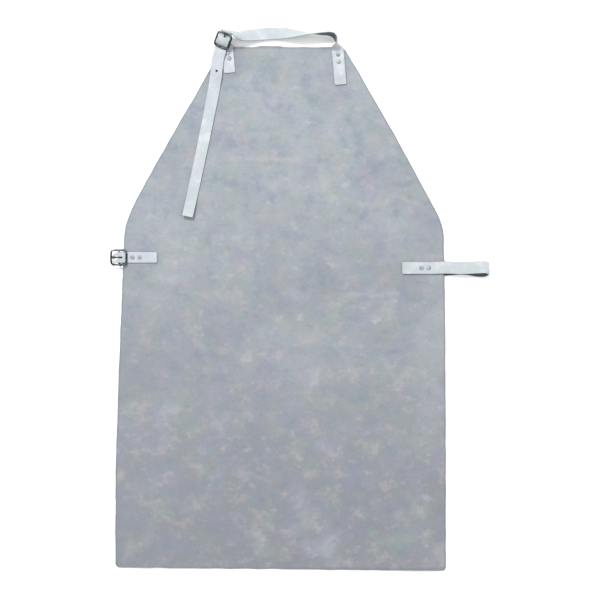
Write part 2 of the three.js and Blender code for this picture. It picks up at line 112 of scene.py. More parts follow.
def pale_floor(size, height, fall, rows):
    """A level floor with a hollow: fall lists x and drop, rows lists y and share of the drop."""
    half = size / 2
    profile = [(-half, 0), *fall, (half, 0)]
    bands = [(-half, 0), *rows, (half, 0)]
    points = [(x, y, height - drop * share) for x, drop in profile for y, share in bands]
    wide = len(bands)
    faces = [(k * wide + i, (k + 1) * wide + i, (k + 1) * wide + i + 1, k * wide + i + 1)
             for k in range(len(profile) - 1) for i in range(wide - 1)]
    mesh = bpy.data.meshes.new("floor")
    mesh.from_pydata(points, [], faces)
    for polygon in mesh.polygons:
        polygon.use_smooth = True
    mesh.materials.append(plain_material("pale_floor", (0.93, 0.93, 0.93), 0.9))
    floor = bpy.data.objects.new("floor", mesh)
    bpy.context.scene.collection.objects.link(floor)
    floor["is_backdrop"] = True


def soft_lamp(name, place, aim, size, power):
    light = bpy.data.lights.new(name, "AREA")
    light.shape = "DISK"
    light.size = size
    light.energy = power
    lamp = bpy.data.objects.new(name, light)
    bpy.context.scene.collection.objects.link(lamp)
    lamp.location = place
    lamp.rotation_euler = (Vector(aim) - Vector(place)).to_track_quat("-Z", "Y").to_euler()


ROOM_BRIGHTNESS = 1.5
LAMP_PLACE = (-1.3, 2.7, 3.4)
LAMP_SIZE = 1.1
LAMP_POWER = 118
WORLD_STRENGTH = 0.76
FLOOR_SIZE = 12
FLOOR_HEIGHT = -0.4 * MM
HOLLOW_FALL = [
    (0.360, 0), (0.372, 0.006), (0.42, 0.011), (0.72, 0.040), (1.02, 0.066), (1.2, 0.066), (2.2, 0),
]
HOLLOW_ROWS = [(-0.9, 0), (-0.25, 1), (0.4, 1), (1.0, 0)]
pale_floor(FLOOR_SIZE, FLOOR_HEIGHT, HOLLOW_FALL, HOLLOW_ROWS)
soft_lamp("window_lamp", LAMP_PLACE, (0, 0, 0), LAMP_SIZE, LAMP_POWER * ROOM_BRIGHTNESS)
world = bpy.data.worlds.new("pale_room")
bpy.context.scene.world = world
world.use_nodes = True
world.node_tree.nodes["Background"].inputs["Color"].default_value = (1, 1, 1, 1)
world.node_tree.nodes["Background"].inputs["Strength"].default_value = WORLD_STRENGTH * ROOM_BRIGHTNESS
bpy.context.scene.view_settings.view_transform = "Standard"
print("floor, one lamp and a pale room")

# %% [markdown]
# ## Writing materials as sums
# A finish is easiest to read as a formula: blotches plus nap, times an edge mask. `Signal`
# wraps the output of a shader node, so that Python's + - * add Math nodes, also when the plain
# number comes first. `Finish` holds one material and adds every other kind of node.

# %% Signal and Finish
class Signal:
    """One output of a shader node, with arithmetic."""

    def __init__(self, finish, socket):
        self.finish = finish
        self.socket = socket

    def math(self, operation, first, second):
        return self.finish.node("ShaderNodeMath", {"operation": operation}, {0: first, 1: second})

    def __add__(self, other):
        return self.math("ADD", self, other)

    __radd__ = __add__

    def __sub__(self, other):
        return self.math("SUBTRACT", self, other)

    def __rsub__(self, other):
        return self.math("SUBTRACT", other, self)

    def __mul__(self, other):
        return self.math("MULTIPLY", self, other)

    __rmul__ = __mul__

    def between(self, low, high):
        """0 below low, 1 above high, and smooth between them."""
        settings = {"interpolation_type": "SMOOTHSTEP"}
        return self.finish.node("ShaderNodeMapRange", settings, {0: self, 1: low, 2: high})


class Finish:
    """One material under construction."""

    def __init__(self, name, constants):
        self.material = bpy.data.materials.new(name)
        self.material.use_nodes = True
        self.tree = self.material.node_tree
        self.shader = self.tree.nodes["Principled BSDF"]
        for socket, value in constants.items():
            self.shader.inputs[socket].default_value = value

    def put(self, socket, value):
        if isinstance(value, Signal):
            self.tree.links.new(value.socket, socket)
        else:
            socket.default_value = value

    def node(self, kind, settings=None, inputs=None, output=0):
        made = self.tree.nodes.new(kind)
        for name, value in (settings or {}).items():
            setattr(made, name, value)
        for key, value in (inputs or {}).items():
            self.put(made.inputs[key], value)
        return Signal(self, made.outputs[output])

    def mix(self, first, second, amount):
        settings = {"data_type": "RGBA"}
        inputs = {0: amount, 6: first, 7: second}
        return self.node("ShaderNodeMix", settings, inputs, output=2)

    def stretched(self, place, scale):
        settings = {"operation": "MULTIPLY"}
        return self.node("ShaderNodeVectorMath", settings, {0: place, 1: scale})

    def noise(self, place, scale, detail, roughness):
        inputs = {"Vector": place, "Scale": scale, "Detail": detail, "Roughness": roughness}
        return self.node("ShaderNodeTexNoise", None, inputs)

    def bump(self, height, distance, strength=1.0):
        inputs = {"Height": height, "Distance": distance, "Strength": strength}
        return self.node("ShaderNodeBump", None, inputs)

    def paint(self, **looks):
        for name, value in looks.items():
            self.put(self.shader.inputs[name.replace("_", " ")], value)
        return self.material


def grey(red, green, blue):
    """A colour from its 0 to 255 screen values, as the shader's linear numbers for this bright room."""
    def linear(value):
        share = value / 255
        full = share / 12.92 if share <= 0.04045 else ((share + 0.055) / 1.055) ** 2.4
        return full / ROOM_BRIGHTNESS
    return (linear(red), linear(green), linear(blue), 1.0)


print("a mid grey is", [round(v, 3) for v in grey(128, 128, 128)])

# %% [markdown]
# ## Suede
# Split suede has no smooth grain: it is the middle of the hide, brushed to a nap. The dye takes
# unevenly, so the sheet is clouded with green, violet and blue greys of hand size, with smaller
# flecks on top and a fine nap that swallows the shine. It is noise, from hand size down to the
# nap, over a slow darkening towards the hem. A printed pattern would also work, but noise stays
# sharp at any distance.

# %% Suede for the sheet
def suede_finish(name, shade):
    suede = Finish(name, {"Sheen Weight": 0.12, "Sheen Roughness": 0.6, "Specular IOR Level": 0.15})

    def tone(red, green, blue):
        return grey(red * shade, green * shade, blue * shade)

    place = suede.node("ShaderNodeTexCoord", output=3)
    spot = suede.node("ShaderNodeSeparateXYZ", None, {0: place}, output=0)
    height = suede.node("ShaderNodeSeparateXYZ", None, {0: place}, output=1)
    drift = suede.node("ShaderNodeVectorMath", {"operation": "ADD"}, {0: place, 1: (0.31, 0.17, 0.0)})
    clouds = suede.noise(place, 5.0, 3.0, 0.55)
    smoke = suede.noise(drift, 14.0, 4.0, 0.6)
    patches = suede.noise(suede.stretched(drift, (1.0, 1.25, 1.0)), 34.0, 5.0, 0.62)
    tint = suede.noise(place, 15.0, 4.0, 0.7)
    warmth = suede.noise(suede.stretched(drift, (0.9, 1.1, 1.0)), 26.0, 4.0, 0.7)
    flecks = suede.noise(place, 170.0, 4.0, 0.7)
    nap = suede.noise(suede.stretched(place, (1.0, 0.7, 1.0)), 1500.0, 3.0, 0.6)
    colour = suede.mix(tone(142, 144, 151), tone(165, 173, 179), height.between(-0.62, 0.50))
    colour = suede.mix(colour, tone(152, 165, 158), tint.between(0.50, 0.66) * 0.56)
    colour = suede.mix(colour, tone(155, 153, 172), (1 - tint.between(0.35, 0.50)) * 0.58)
    colour = suede.mix(colour, tone(180, 173, 173), warmth.between(0.52, 0.68) * 0.54)
    colour = suede.mix(colour, tone(136, 149, 166), (1 - warmth.between(0.36, 0.48)) * 0.46)
    colour = suede.mix(colour, tone(188, 194, 198), clouds.between(0.50, 0.68) * 0.22)
    colour = suede.mix(colour, tone(132, 138, 148), (1 - clouds.between(0.34, 0.50)) * 0.20)
    colour = suede.mix(colour, tone(198, 203, 206), smoke.between(0.54, 0.74) * 0.26)
    colour = suede.mix(colour, tone(128, 135, 145), (1 - smoke.between(0.30, 0.47)) * 0.24)
    colour = suede.mix(colour, tone(208, 211, 213), patches.between(0.56, 0.76) * 0.30)
    colour = suede.mix(colour, tone(122, 129, 140), (1 - patches.between(0.28, 0.45)) * 0.25)
    colour = suede.mix(colour, tone(208, 211, 213), flecks.between(0.56, 0.80) * 0.26)
    colour = suede.mix(colour, tone(112, 118, 128), (1 - flecks.between(0.24, 0.44)) * 0.24)
    colour = suede.mix(colour, tone(118, 123, 132), (1 - nap.between(0.30, 0.55)) * 0.22)
    handled = (1 - height.between(-0.47, -0.20)) * (1 - spot.between(-0.30, 0.02))
    colour = suede.mix(colour, tone(138, 142, 151), handled * 0.34)
    # Painted highlight along the ridges of the creases, stronger where the patches noise is high.
    crease_highlight = suede.node("ShaderNodeAttribute", {"attribute_name": "crease_highlight"}, output=2)
    colour = suede.mix(colour, tone(212, 216, 219), crease_highlight * (0.10 + 0.42 * patches))
    rim = suede.node("ShaderNodeAttribute", {"attribute_name": "rim"}, output=2)
    colour = suede.mix(colour, tone(112, 118, 128), rim * (0.10 + 0.5 * smoke))
    rough = 0.88 + 0.12 * nap
    relief = nap * 0.22 + flecks * 0.8 + patches * 1.2
    return suede.paint(Base_Color=colour, Roughness=rough, Normal=suede.bump(relief, 0.0012, 0.6))


suede_front = suede_finish("suede_front", 1.0)
suede_back = suede_finish("suede_back", 0.88)
print("suede uses", len(suede_front.node_tree.nodes), "nodes")

# %% [markdown]
# The cut edge shows the fibres of the hide from the side, and it is coloured darker than the face.
# One colour would do from afar; the fibre noise is there for a close look.

# %% Raw cut edge of the sheet
def cut_edge_finish(name, dark, light):
    edge = Finish(name, {"Specular IOR Level": 0.2})
    place = edge.node("ShaderNodeTexCoord", output=3)
    fibres = edge.noise(edge.stretched(place, (1.0, 1.0, 3.0)), 900.0, 4.0, 0.7)
    colour = edge.mix(grey(*dark), grey(*light), fibres.between(0.35, 0.65))
    rough = 0.9 + 0.08 * fibres
    return edge.paint(Base_Color=colour, Roughness=rough, Normal=edge.bump(fibres, 0.0004))


suede_edge = cut_edge_finish("suede_cut_edge", (92, 97, 104), (138, 143, 150))
strap_edge = cut_edge_finish("strap_cut_edge", (156, 162, 169), (196, 202, 207))
print("cut edges ready, for the sheet and for the straps")

# %% [markdown]
# ## Shape of the sheet
# The sheet is cut like a bib apron: a straight hem, nearly straight sides, a rounded turn at
# the armholes and a slope up to the narrow bib. The outline could be one flat face, but leather
# must bend over the strap behind it, so the sheet is a fine grid instead. Every row of the grid
# runs from the left edge to the right edge at its own height.

# %% Edges of the sheet, by height above the middle, in millimetres
sheet_low, sheet_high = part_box("apron_body")
HEM_Y = sheet_low.y / MM
BIB_Y = sheet_high.y / MM
LEFT_EDGE = [
    (HEM_Y, -300.5), (-300, -300.3), (-150, -295.5), (30, -288.5), (100, -285.2), (148, -284),
    (179, -271.8), (222, -249.2), (290, -211.2), (350, -177), (376, -160.9), (449, -120.5),
    (BIB_Y, -107),
]
RIGHT_EDGE = [
    (HEM_Y, 301), (-300, 301), (-50, 300), (60, 298.5), (152, 296.5), (179, 281.5),
    (310, 211), (449, 131), (BIB_Y, 114),
]
CORNER = 7.0
TURN_SPREAD = 22.0
RIM_WIDTH = 4.5


def along_edge(edge, y):
    for (y0, x0), (y1, x1) in zip(edge, edge[1:]):
        if y <= y1:
            return x0 + (x1 - x0) * (y - y0) / (y1 - y0)
    return edge[-1][1]


def edge_x(edge, y, side):
    """The edge at height y, with its turns rounded, its corners eased and a hand-cut waver."""
    window = [along_edge(edge, y + TURN_SPREAD * step / 4) for step in range(-4, 5)]
    x = sum(window) / len(window)
    if min(y - HEM_Y, BIB_Y - y) < TURN_SPREAD:
        x = along_edge(edge, y)
    to_end = max(0.0, min(y - HEM_Y, BIB_Y - y))
    if to_end < CORNER:
        x -= side * (CORNER - math.sqrt(CORNER ** 2 - (CORNER - to_end) ** 2))
    slow = noise.noise((side * 9.0, y / 21, 0.3)) * 0.7
    quick = noise.noise((side * 5.0, y / 7, 2.1)) * 0.25
    return x + (slow + quick)


print("hem", round(edge_x(RIGHT_EDGE, HEM_Y + 20, 1) - edge_x(LEFT_EDGE, HEM_Y + 20, -1)), "mm wide")

# %% [markdown]
# Leather laid over something thin keeps to it and slopes down again within a finger's width.
# What lies behind the sheet is known: the folded-back waist strap, the back layers of the two
# tabs and the rivet heads. Each is a bar with two ends, a half width and a height. A cloth
# simulation would find the same slopes, but here they can be written down and are always the
# same. Slow swells and a few shallow creases from the way it was folded are added on top.

# %% Height of the sheet over what lies behind it
STRAP_MM = 2.0
SHEET_MM = 1.6
SEAT_MM = sheet_high.z / MM - SHEET_MM
SLOPE_REACH = 21.0
HELD_DOWN = 1.6


def middle_of(node):
    low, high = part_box(node)
    return (low + high) / 2 / MM


return_low, return_high = (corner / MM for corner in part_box("waist_strap_end"))
fold_edge = return_high.x
behind = [
    ((fold_edge, 68.0), (return_low.x, 59.0), 11.0, STRAP_MM + 0.2),
    ((-300.0, 92.0), (-238.0, 92.0), 10.5, SEAT_MM),
    ((-97.0, 474.0), (-94.0, 438.0), 10.5, SEAT_MM),
    ((103.0, 474.0), (104.5, 440.0), 9.0, SEAT_MM),
]
for name in ("waist_strap_rivet_stud_1", "waist_strap_rivet_stud_2"):
    spot = middle_of(name)
    behind.append(((spot.x, spot.y), (spot.x, spot.y), 6.0, SEAT_MM))


def gap_to_bar(x, y, start, end, half_width):
    ax, ay = start
    bx, by = end[0] - ax, end[1] - ay
    long = bx * bx + by * by
    share = 0.0 if long == 0 else max(0.0, min(1.0, ((x - ax) * bx + (y - ay) * by) / long))
    return max(0.0, math.hypot(x - ax - share * bx, y - ay - share * by) - half_width)


def ease(share):
    share = max(0.0, min(1.0, share))
    return share * share * (3 - 2 * share)


# Creases: two ends, half width, height. A negative height is a valley.
creases = [
    ((-88, 281), (-20, 278), 6.0, -0.5), ((-10, 277), (122, 280), 6.0, -0.4),
    ((-88, 273), (30, 269), 7.0, 0.4), ((59, -38), (92, -58), 6.0, 0.6),
    ((96, -64), (123, -92), 7.0, 0.5), ((183, -88), (200, -112), 7.0, 0.6),
    ((203, -119), (223, -142), 7.0, 0.5), ((132, -365), (152, -382), 6.0, 0.5),
    ((112, 22), (160, 25), 9.0, 0.5), ((166, 22), (214, 27), 9.0, 0.5),
    ((-30, -190), (-14, -205), 6.0, 0.4), ((205, 205), (250, 190), 7.0, 0.4),
    ((-200, 120), (-150, 96), 8.0, 0.4), ((-60, -300), (-20, -318), 8.0, 0.4),
]


def swell(x, y):
    slow = noise.noise((x / 210, y / 260, 0.7)) + 0.6 * noise.noise((x / 95 + 3, y / 130, 4.2))
    quick = noise.noise((x / 38, y / 44, 8.5))
    return max(0.0, 0.75 + 1.3 * slow + 0.22 * quick)


def crease_at(x, y):
    total = 0.0
    for start, end, half_width, height in creases:
        near = 1 - ease(gap_to_bar(x, y, start, end, 0.0) / half_width)
        total += height * near * near
    return total


def sheet_underside(x, y):
    seat = 0.0
    for start, end, half_width, height in behind:
        gap = gap_to_bar(x, y, start, end, half_width)
        if gap < SLOPE_REACH:
            seat = max(seat, height * (1 - ease(gap / SLOPE_REACH)))
    loose = 1 - ease(seat / HELD_DOWN)
    return seat + loose * max(0.0, swell(x, y) + crease_at(x, y))


def sheet_top(x, y):
    return sheet_underside(x, y) + SHEET_MM


print("sheet top over the waist strap:", round(sheet_top(100, 64), 2), "mm")

# %% [markdown]
# The grid has rows of points from hem to bib, closer together at both ends, where the corners
# turn. Each point knows only its place in plan; its height comes from the function above. The
# hem and the top of the bib were cut by hand, so they waver and lean a little.

# %% Points of the grid, and the helper that makes a piece
COLUMN_CROWDING = 0.1


def new_piece(name, points, faces, materials, smooth=True):
    """A mesh object from points in millimetres."""
    mesh = bpy.data.meshes.new(name)
    mesh.from_pydata([tuple(c * MM for c in point) for point in points], [], faces)
    for material in materials:
        mesh.materials.append(material)
    for polygon in mesh.polygons:
        polygon.use_smooth = smooth
    mesh.update()
    piece = bpy.data.objects.new(name, mesh)
    bpy.context.scene.collection.objects.link(piece)
    return piece


def sheet_rows():
    ends = [0.0, 0.6, 1.6, 3.2, 5.2]
    step = 4.0
    count = int((BIB_Y - HEM_Y - 2 * CORNER) / step)
    inner = [HEM_Y + CORNER + i * (BIB_Y - HEM_Y - 2 * CORNER) / count for i in range(count + 1)]
    return [HEM_Y + e for e in ends] + inner + [BIB_Y - e for e in reversed(ends)]


def bib_rise(x):
    """How far the top of the bib stands out, left of its middle."""
    return 2.4 * (1 - ease((abs(x + 18) - 12) / 20))


def hem_lean(x, y):
    """2.6 mm up at the hem's left corner, 3.6 mm down at its right one, and gone 90 mm higher."""
    return (2.6 - 5.4 * (x + 300) / 520) * (1 - ease((y - HEM_Y) / 90))


def sheet_points(columns):
    points = []
    for y in sheet_rows():
        left, right = edge_x(LEFT_EDGE, y, -1), edge_x(RIGHT_EDGE, y, 1)
        for i in range(columns + 1):
            share = i / columns - COLUMN_CROWDING * math.sin(2 * math.pi * i / columns)
            x = left + (right - left) * share
            hand_cut = 0.0
            if y in (HEM_Y, BIB_Y):
                hand_cut = noise.noise((x / 26, y, 1.0)) * 0.8
            if y == BIB_Y:
                hand_cut += bib_rise(x)
            points.append((x, y + hand_cut + hem_lean(x, y)))
    return points


print(len(sheet_rows()), "rows of points from hem to bib")

# %% [markdown]
# The grid is made twice, as a front and a back, and stitched together round the rim with a
# strip for the cut edge. A single surface with a Solidify modifier is quicker to write, but
# this way the edge can bulge a little, as a knife cut in soft leather does. Two numbers stay
# with every point: how much painted highlight it gets on the ridge of a crease, and how near
# the rim it lies.

# %% The sheet
COLUMNS = 150
EDGE_BULGE = 0.3
plan = sheet_points(COLUMNS)
row_length = COLUMNS + 1
row_count = len(plan) // row_length
front = [(x, y, sheet_top(x, y)) for x, y in plan]
back = [(x, y, z - SHEET_MM) for x, y, z in front]


def rim_loop():
    """Grid numbers round the rim, once round."""
    bottom = list(range(row_length))
    right = [row * row_length + COLUMNS for row in range(1, row_count)]
    top = [(row_count - 1) * row_length + i for i in range(COLUMNS - 1, -1, -1)]
    left = [row * row_length for row in range(row_count - 2, 0, -1)]
    return bottom + right + top + left


def build_sheet():
    offset = len(front)
    faces = []
    for row in range(row_count - 1):
        for i in range(COLUMNS):
            a = row * row_length + i
            faces.append((a, a + 1, a + row_length + 1, a + row_length))
    front_count = len(faces)
    faces += [tuple(offset + n for n in reversed(face)) for face in faces]
    rim = rim_loop()
    bulge = []
    for k, n in enumerate(rim):
        x0, y0, _ = front[rim[k - 1]]
        x1, y1, _ = front[rim[(k + 1) % len(rim)]]
        length = math.hypot(x1 - x0, y1 - y0)
        x, y, z = front[n]
        out_x, out_y = EDGE_BULGE * (y1 - y0) / length, EDGE_BULGE * (x1 - x0) / length
        bulge.append((x + out_x, y - out_y, z - SHEET_MM / 2))
    middle = 2 * offset
    for k, n in enumerate(rim):
        m = (k + 1) % len(rim)
        faces.append((n, middle + k, middle + m, rim[m]))
        faces.append((middle + k, offset + n, offset + rim[m], middle + m))
    points = front + back + bulge
    sheet = new_piece("apron_leather_sheet", points, faces, [suede_front, suede_back, suede_edge])
    for number, polygon in enumerate(sheet.data.polygons):
        polygon.material_index = 0 if number < front_count else 1 if number < 2 * front_count else 2
    crease_highlight = sheet.data.attributes.new("crease_highlight", "FLOAT", "POINT")
    near_rim = sheet.data.attributes.new("rim", "FLOAT", "POINT")
    for number, (x, y, z) in enumerate(points):
        # Ridges of the creases carry a painted highlight; valleys and the back carry none.
        painted_highlight = max(0.0, crease_at(x, y)) if number < offset else 0.0
        crease_highlight.data[number].value = min(1.0, painted_highlight * 0.9)
        beside = min(x - edge_x(LEFT_EDGE, y, -1), edge_x(RIGHT_EDGE, y, 1) - x)
        inside = min(beside, y - HEM_Y, BIB_Y - y)
        near_rim.data[number].value = 1 - ease(inside / RIM_WIDTH)
    return sheet


apron_sheet = build_sheet()
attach(apron_sheet, "apron")
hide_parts("apron_body")
cut_area = sum(face.area for face in apron_sheet.data.polygons) / 2
print("sheet", len(apron_sheet.data.polygons), "faces,", round(cut_area, 3), "square metres")

# %% [markdown]
# ## Strap leather
# The straps and tabs are firmer leather with its smooth grain side out. It is nearly white, with
# faint cool and warm clouds, small pores and hairline wrinkles. The inside is the rough flesh
# side, painted dark grey: painted shade for the inside of a fold and for a strap seen on its
# edge. Clouds, pores and wrinkles are noise again, each at its own size; they could be
# drawn by hand, but then every strap would need its own drawing.

# %% Strap leather, grain side and flesh side
def strap_grain_finish():
    grain = Finish("strap_grain", {"Specular IOR Level": 0.35, "Sheen Weight": 0.08})
    place = grain.node("ShaderNodeTexCoord", output=3)
    clouds = grain.noise(place, 32.0, 4.0, 0.6)
    tint = grain.noise(grain.stretched(place, (1.0, 0.8, 1.0)), 15.0, 3.0, 0.5)
    pores = grain.noise(place, 1100.0, 2.0, 0.5)
    wrinkles = grain.noise(place, 260.0, 4.0, 0.65)
    colour = grain.mix(grey(199, 204, 212), grey(194, 204, 203), tint.between(0.42, 0.60))
    colour = grain.mix(colour, grey(184, 193, 201), clouds.between(0.45, 0.68) * 0.70)
    colour = grain.mix(colour, grey(222, 228, 233), (1 - clouds.between(0.32, 0.46)) * 0.55)
    colour = grain.mix(colour, grey(158, 167, 176), (1 - pores.between(0.30, 0.50)) * 0.35)
    colour = grain.mix(colour, grey(230, 234, 238), wrinkles.between(0.55, 0.75) * 0.28)
    colour = grain.mix(colour, grey(168, 177, 185), (1 - wrinkles.between(0.28, 0.42)) * 0.26)
    rim = grain.node("ShaderNodeAttribute", {"attribute_name": "rim"}, output=2)
    colour = grain.mix(colour, grey(158, 166, 174), rim.between(0.80, 1.0) * 0.26)
    rough = 0.52 + 0.24 * clouds + 0.12 * wrinkles
    relief = wrinkles * 0.6 + pores * 0.25
    return grain.paint(Base_Color=colour, Roughness=rough, Normal=grain.bump(relief, 0.0007, 0.5))


def strap_flesh_and_shade_finish():
    flesh = Finish("strap_flesh_side_and_shade", {"Specular IOR Level": 0.15, "Sheen Weight": 0.1})
    place = flesh.node("ShaderNodeTexCoord", output=3)
    fibres = flesh.noise(place, 700.0, 5.0, 0.7)
    clouds = flesh.noise(place, 45.0, 3.0, 0.5)
    # The flesh side is painted dark grey: painted shade for the inside of a fold and for a strap on its
    # edge.
    colour = flesh.mix(grey(84, 89, 97), grey(112, 118, 125), fibres.between(0.30, 0.72))
    colour = flesh.mix(colour, grey(96, 102, 108), clouds.between(0.45, 0.65) * 0.5)
    rough = 0.9 + 0.1 * fibres
    return flesh.paint(Base_Color=colour, Roughness=rough, Normal=flesh.bump(fibres, 0.0005, 0.7))


strap_grain = strap_grain_finish()
strap_flesh_and_shade = strap_flesh_and_shade_finish()
LEATHER = [strap_grain, strap_edge, strap_flesh_and_shade]
print("strap leather ready")

# %% [markdown]
# ## From a route to a strap
# Each strap is a flat strip that follows a route. A stop on the route is a point and the
# direction across the strip there, so the strip can lie flat, stand on its edge or twist. A curve
# object with a bevel would twist where it likes; this keeps every turn where the leather has it.

# %% Routes: stops, and the smooth curve through them
def stop(point, across):
    return Vector(point), Vector(across).normalized()


def spline(knots, spans):
    """Smooth pieces through the knots: for each span four vectors c0 to c3."""
    ends = [2 * knots[0] - knots[1], *knots, 2 * knots[-1] - knots[-2]]
    pieces = []
    for k in range(spans):
        p0, p1, p2, p3 = ends[k:k + 4]
        d0, d1, d2 = ((b - a).length ** 0.5 or 1.0 for a, b in ((p0, p1), (p1, p2), (p2, p3)))
        t1 = ((p1 - p0) / d0 - (p2 - p0) / (d0 + d1) + (p2 - p1) / d1) * d1
        t2 = ((p2 - p1) / d1 - (p3 - p1) / (d1 + d2) + (p3 - p2) / d2) * d1
        pieces.append((p1, t1, 3 * (p2 - p1) - 2 * t1 - t2, 2 * (p1 - p2) + t1 + t2))
    return pieces


def stations_of(stops, spacing):
    """Points along the route: place, direction along, direction across."""
    knots = [place for place, across in stops]
    stations = []
    for k, (c0, c1, c2, c3) in enumerate(spline(knots, len(knots) - 1)):
        count = max(3, math.ceil((knots[k + 1] - knots[k]).length / spacing))
        last = k == len(knots) - 2
        for i in range(count + (1 if last else 0)):
            t = i / count
            at = c0 + t * (c1 + t * (c2 + t * c3))
            along = (c1 + 2 * t * c2 + 3 * t * t * c3).normalized()
            across = stops[k][1].lerp(stops[k + 1][1], t).normalized()
            stations.append((at, along, across))
    return stations


def lengths_of(stations):
    total = [0.0]
    for (a, _, _), (b, _, _) in zip(stations, stations[1:]):
        total.append(total[-1] + (b - a).length)
    return total


def station_at(stations, lengths, distance):
    k = max(i for i, length in enumerate(lengths[:-1]) if length <= distance)
    t = (distance - lengths[k]) / (lengths[k + 1] - lengths[k])
    here, there = stations[k], stations[k + 1]
    return tuple(a.lerp(b, t) for a, b in zip(here, there))


straight = [stop((0, 0, 0), (0, 1, 0)), stop((100, 0, 0), (0, 1, 0))]
print("a straight route of 100 mm gets", len(stations_of(straight, 2.5)), "stations")

# %% [markdown]
# A strap's section is a rectangle with softly rounded corners: grain side, cut edge, flesh side,
# cut edge. The corners of its ends are trimmed round with a knife. Each point also stores how
# near the rim it lies, so that the leather can be a little darker there.

# %% The strip itself
STRIP_COLUMNS = 10
END_TRIM = [0.0, 0.15, 0.5, 1.1, 2.0]
END_RADIUS = 2.0
EDGE_ROUND = 0.5
RIM_REACH = 3.0
GRAIN, EDGE, FLESH_AND_SHADE = 0, 1, 2


def section(width, thickness):
    """Points round the section: side, level, material; level is up on the grain side."""
    half, rise = width / 2, thickness / 2
    flat = half - EDGE_ROUND
    near = half - 0.12
    turn = rise * 0.66
    top = [(flat * (2 * i / STRIP_COLUMNS - 1), rise, GRAIN) for i in range(STRIP_COLUMNS)]
    right = [(flat, rise, GRAIN), (near, turn, EDGE), (half, 0.0, EDGE), (near, -turn, EDGE)]
    low = [(-side, -rise, FLESH_AND_SHADE) for side, _, _ in top]
    left = [(-flat, -rise, FLESH_AND_SHADE), (-near, -turn, EDGE), (-half, 0.0, EDGE), (-near, turn, EDGE)]
    return top + right + low + left


def trimmed(stations, radius, meets):
    """Stations, each with what a rounded corner takes off; an end that meets another isn't cut."""
    lengths = lengths_of(stations)
    total = lengths[-1]
    places = [d * radius / 2 for d in END_TRIM]
    inner = [d for d in lengths if radius < d < total - radius]
    cuts = places + inner + [total - d for d in reversed(places)]
    result = []
    for d in cuts:
        near = min(d if meets != "start" else total, total - d if meets != "end" else total)
        off = radius - math.sqrt(max(0.0, radius ** 2 - max(0.0, radius - near) ** 2))
        station = station_at(stations, lengths, min(d, total - 1e-6))
        result.append((station, off if near < radius else 0.0, d))
    return result, total


def end_rim(distance, total, meets):
    """1 at a cut end of the strap, falling to 0 at RIM_REACH inside it."""
    behind_it = distance if meets != "start" else total
    ahead = total - distance if meets != "end" else total
    return 1 - min(1.0, min(behind_it, ahead) / RIM_REACH)


def strip(name, stops, width, thickness, spacing, seed, taper=0.0, meets=""):
    """A strap along a route, narrower by taper at its end. Its grain side faces along x across."""
    stations, total = trimmed(stations_of(stops, spacing), END_RADIUS, meets)
    ring = section(width, thickness)
    points, faces, slots, rim = [], [], [], []
    for (at, along, across), off, distance in stations:
        grain_side = along.cross(across).normalized()
        waver = noise.noise((distance / 17, seed, 0.0)) * 0.3 * min(1.0, (total - distance) / 20)
        narrow = 1 - (2 * off + taper * distance / total) / width
        for side, level, _ in ring:
            reach = side * narrow + waver * 2 * side / width
            points.append(at + across * reach + grain_side * level)
            rim.append(max(abs(2 * side / width) ** 2, end_rim(distance, total, meets)))
    size = len(ring)
    for row in range(len(stations) - 1):
        for k in range(size):
            a, b = row * size + k, row * size + (k + 1) % size
            faces.append((a, b, b + size, a + size))
            both = (ring[k][2], ring[(k + 1) % size][2])
            slots.append(EDGE if EDGE in both else both[0])
    faces.append(tuple(reversed(range(size))))
    faces.append(tuple(range(len(points) - size, len(points))))
    slots += [EDGE, EDGE]
    piece = new_piece(name, points, faces, LEATHER)
    piece.data.polygons.foreach_set("material_index", slots)
    store = piece.data.attributes.new("rim", "FLOAT", "POINT")
    store.data.foreach_set("value", rim)
    outward(piece)
    crisp(piece)
    print(name, round(total, 1), "mm long,", len(piece.data.polygons), "faces")
    return piece


def outward(piece):
    mesh = bmesh.new()
    mesh.from_mesh(piece.data)
    bmesh.ops.recalc_face_normals(mesh, faces=mesh.faces)
    mesh.to_mesh(piece.data)
    mesh.free()


def crisp(piece, degrees=40):
    """Smooth shading, but with every sharp turn left sharp."""
    piece.data.set_sharp_from_angle(angle=math.radians(degrees))


print("a strap's section has", len(section(22, 2)), "points")

# %% [markdown]
# Punched holes and prong slots are cut with a Boolean, because a real punch does the same: it
# removes exactly the shape of the tool. The cutting shape carries the cut-edge material, so the
# walls of each hole show cut leather.

# %% Punches, slots and the cut
PUNCH_SIDES = 28
RIVET_HOLE = 1.65


def tool_piece(points, faces):
    tool = new_piece("tool", points, faces, LEATHER, smooth=False)
    for polygon in tool.data.polygons:
        polygon.material_index = EDGE
    outward(tool)
    return tool


def punch(at, radius, reach=4.0):
    """A round punch that stands up through the leather."""
    points = []
    for level in (-reach, reach):
        for i in range(PUNCH_SIDES):
            angle = 2 * math.pi * i / PUNCH_SIDES
            spoke = Vector((radius * math.cos(angle), radius * math.sin(angle), level))
            points.append(Vector(at) + spoke)
    around = range(PUNCH_SIDES)
    faces = [(i, (i + 1) % PUNCH_SIDES, PUNCH_SIDES + (i + 1) % PUNCH_SIDES, PUNCH_SIDES + i)
             for i in around]
    faces += [tuple(reversed(around)), tuple(range(PUNCH_SIDES, 2 * PUNCH_SIDES))]
    return tool_piece(points, faces)


def block(matrix, low, high):
    x, y, z = zip(low, high)
    corners = [matrix @ Vector((x[i], y[j], z[k])) for k in (0, 1) for j in (0, 1) for i in (0, 1)]
    faces = [(0, 2, 3, 1), (4, 5, 7, 6), (0, 1, 5, 4), (2, 6, 7, 3), (0, 4, 6, 2), (1, 3, 7, 5)]
    return tool_piece(corners, faces)


